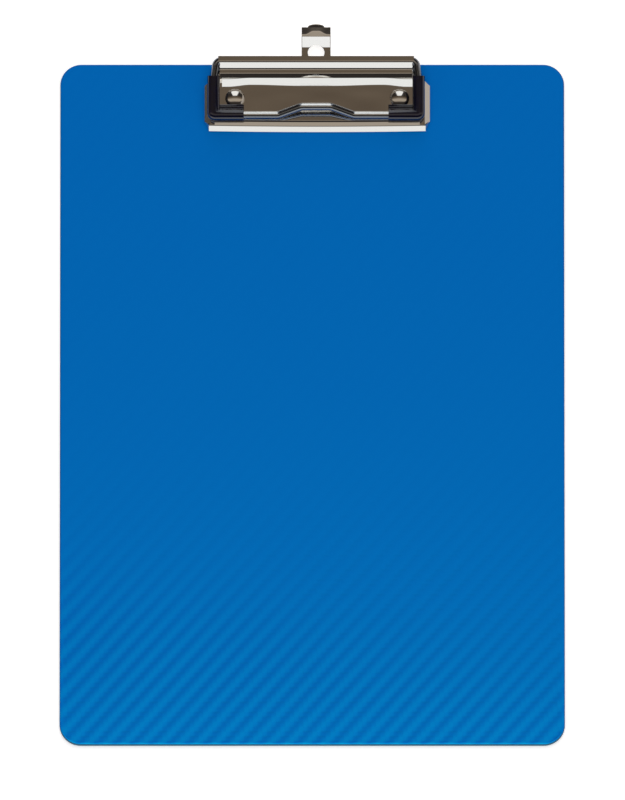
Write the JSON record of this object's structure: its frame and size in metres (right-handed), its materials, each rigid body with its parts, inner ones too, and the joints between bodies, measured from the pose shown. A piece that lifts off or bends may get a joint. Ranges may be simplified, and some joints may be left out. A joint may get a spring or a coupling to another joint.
{
  "type": "clipboard",
  "caption": "A4 plastic clipboard with a riveted low clip: a sprung lever lifts a wire bail with corner boots, and a hanging eye slides out past the top edge.",
  "frame": {"origin": "middle of the board's flat back face", "axes": "+Y along the board towards the clip and the hanging eye, +Z out of the writing face, +X to the right when the clip is at the top"},
  "size_m": [0.226, 0.3369, 0.0136],
  "materials": {
    "board_plastic": "satin moulded polypropylene with a shallow woven-look texture",
    "nickel": "bright nickel plate",
    "rivet_metal": "bright nickel plate",
    "pin_steel": "drawn steel",
    "spring_steel": "drawn spring wire",
    "boot_plastic": "glossy black moulding"
  },
  "bodies": {
    "board_and_base": {"board": "board_plastic", "base_plate": "nickel", "rivet_left": "rivet_metal", "rivet_right": "rivet_metal", "washer_left": "rivet_metal", "washer_right": "rivet_metal", "pivot_pin": "pin_steel", "spring_left": "spring_steel", "spring_right": "spring_steel"},
    "lever_and_bail": {"lever": "nickel", "bail_wire": "nickel", "corner_boot_left": "boot_plastic", "corner_boot_right": "boot_plastic"},
    "eye": {"hanging_eye": "nickel"}
  },
  "joints": [
    {"name": "clip_open", "type": "hinge", "parent": "board_and_base", "child": "lever_and_bail", "pos_m": [0.00225, 0.1534, 0.0075], "axis": [-1, 0, 0], "range_deg": [0, 28], "stiffness_Nm_per_rad": 0.15, "springref_deg": -57.3, "deforming": ["spring_left", "spring_right"]},
    {"name": "eye_slide", "type": "slide", "parent": "board_and_base", "child": "eye", "axis": [0, 1, 0], "range_m": [-0.007, 0]}
  ]
}
